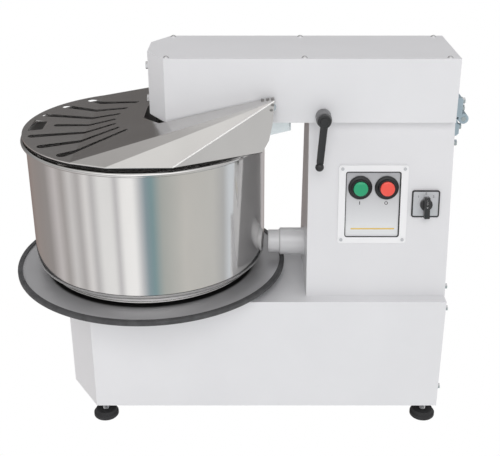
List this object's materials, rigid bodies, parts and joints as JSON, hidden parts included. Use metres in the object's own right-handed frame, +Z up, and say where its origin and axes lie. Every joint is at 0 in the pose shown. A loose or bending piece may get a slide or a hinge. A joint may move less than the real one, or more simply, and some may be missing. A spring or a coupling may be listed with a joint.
{
  "type": "spiral dough mixer",
  "caption": "Tilting-head spiral dough mixer with a round bowl on a driven turntable, a slotted folded steel lid, a sloped column with push buttons and a box base on feet.",
  "frame": {"origin": "on the floor under the middle of the whole machine, the centre of the bounding box's bottom face", "axes": "+Z up, +X from the bowl at the front to the head's hinge at the rear, so the controls are on the -Y side"},
  "size_m": [0.8319, 0.514, 0.708],
  "materials": {
    "white_paint": "satin powder coat",
    "zinc_sheet": "zinc plated",
    "bright_steel": "polished",
    "black_rubber": "matt",
    "grey_casting": "painted grey",
    "dark_steel": "oiled",
    "bronze": "machined",
    "stainless": "polished stainless",
    "panel_metal": "satin",
    "black_plastic": "semi gloss",
    "clear_guard": "clear",
    "green_plastic": "gloss",
    "red_plastic": "gloss"
  },
  "bodies": {
    "stand": {"base_shell": "white_paint", "base_bottom_plate": "zinc_sheet", "base_rear_cover": "white_paint", "column_shell": "white_paint", "column_rear_cover": "white_paint", "rear_bolts": "bright_steel", "foot_pads": "black_rubber", "foot_studs": "bright_steel", "foot_nuts": "bright_steel", "gearbox_housing": "grey_casting", "motor_housing": "grey_casting", "bowl_bearing_housing": "grey_casting", "shaft_bearings": "bright_steel", "column_bearing_bridge": "grey_casting", "bowl_chain": "dark_steel", "guide_boss": "white_paint", "hinge_lower_leaf": "grey_casting", "hinge_pin": "bright_steel", "clamp_tongue": "bright_steel", "control_panel": "panel_metal", "panel_screws": "bright_steel", "button_bezels": "black_plastic", "switch_plate": "panel_metal", "switch_body": "black_plastic", "cable_gland": "black_plastic"},
    "head": {"head_shell": "white_paint", "head_top_cover": "white_paint", "head_bolts": "bright_steel", "hinge_upper_leaf": "grey_casting", "head_bearing_housings": "grey_casting", "head_bearings": "bright_steel", "head_chain": "dark_steel", "breaker_bar": "stainless", "rear_guard": "clear_guard", "clamp_boss": "grey_casting", "lid_pivot_pins": "bright_steel"},
    "lid": {"lid_sheet": "stainless", "lid_hinge_blocks": "bright_steel", "lid_screws": "bright_steel"},
    "bowl_and_turntable": {"bowl": "stainless", "turntable_disc": "stainless", "disc_rubber_edge": "black_rubber", "bowl_shaft": "dark_steel", "bowl_sprocket": "dark_steel"},
    "main_drive": {"drive_shaft": "dark_steel", "drive_sprocket": "dark_steel", "worm_wheel": "bronze"},
    "head_input": {"input_shaft": "dark_steel", "input_sprocket": "dark_steel"},
    "spiral": {"spiral_shaft": "stainless", "spiral_hook": "stainless", "spiral_sprocket": "dark_steel"},
    "rotor": {"motor_rotor": "dark_steel", "worm": "bright_steel"},
    "clamp": {"clamp_lever": "black_plastic", "clamp_stud": "bright_steel"},
    "start_push": {"start_button": "green_plastic"},
    "stop_push": {"stop_button": "red_plastic"},
    "selector": {"switch_knob": "black_plastic"}
  },
  "joints": [
    {"name": "head_tilt", "type": "hinge", "parent": "stand", "child": "head", "pos_m": [0.407, 0, 0.591], "axis": [0, 1, 0], "range_deg": [0, 50]},
    {"name": "lid_open", "type": "hinge", "parent": "head", "child": "lid", "pos_m": [0.067, 0, 0.629], "axis": [0, 1, 0], "range_deg": [0, 60]},
    {"name": "bowl_spin", "type": "hinge", "parent": "stand", "child": "bowl_and_turntable", "pos_m": [-0.159, 0, 0.267], "axis": [0, 0, 1], "continuous": true},
    {"name": "drive_spin", "type": "hinge", "parent": "stand", "child": "main_drive", "pos_m": [0.261, 0, 0.267], "axis": [0, 0, 1], "continuous": true},
    {"name": "input_spin", "type": "hinge", "parent": "head", "child": "head_input", "pos_m": [0.261, 0, 0.647], "axis": [0, 0, 1], "continuous": true},
    {"name": "spiral_spin", "type": "hinge", "parent": "head", "child": "spiral", "pos_m": [-0.038, 0, 0.647], "axis": [0, 0, 1], "continuous": true},
    {"name": "rotor_spin", "type": "hinge", "parent": "stand", "child": "rotor", "pos_m": [0.081, 0.04, 0.192], "axis": [1, 0, 0], "continuous": true},
    {"name": "clamp_turn", "type": "hinge", "parent": "head", "child": "clamp", "pos_m": [0.158, -0.1, 0.605], "axis": [0, -1, 0], "range_deg": [0, 90]},
    {"name": "start_press", "type": "slide", "parent": "stand", "child": "start_push", "axis": [0, 0.989, -0.1476], "range_m": [0, 0.004], "stiffness_N_per_m": 800, "springref_m": -0.002},
    {"name": "stop_press", "type": "slide", "parent": "stand", "child": "stop_push", "axis": [0, 0.989, -0.1476], "range_m": [0, 0.004], "stiffness_N_per_m": 800, "springref_m": -0.002},
    {"name": "selector_turn", "type": "hinge", "parent": "stand", "child": "selector", "pos_m": [0.347, -0.08845, 0.44157], "axis": [0, -0.989, 0.1476], "range_deg": [-45, 45]}
  ],
  "couplings": [
    {"joint": "drive_spin", "follows": "bowl_spin", "ratio": 4},
    {"joint": "input_spin", "follows": "bowl_spin", "ratio": 4},
    {"joint": "spiral_spin", "follows": "bowl_spin", "ratio": 6.4},
    {"joint": "rotor_spin", "follows": "bowl_spin", "ratio": 60}
  ]
}
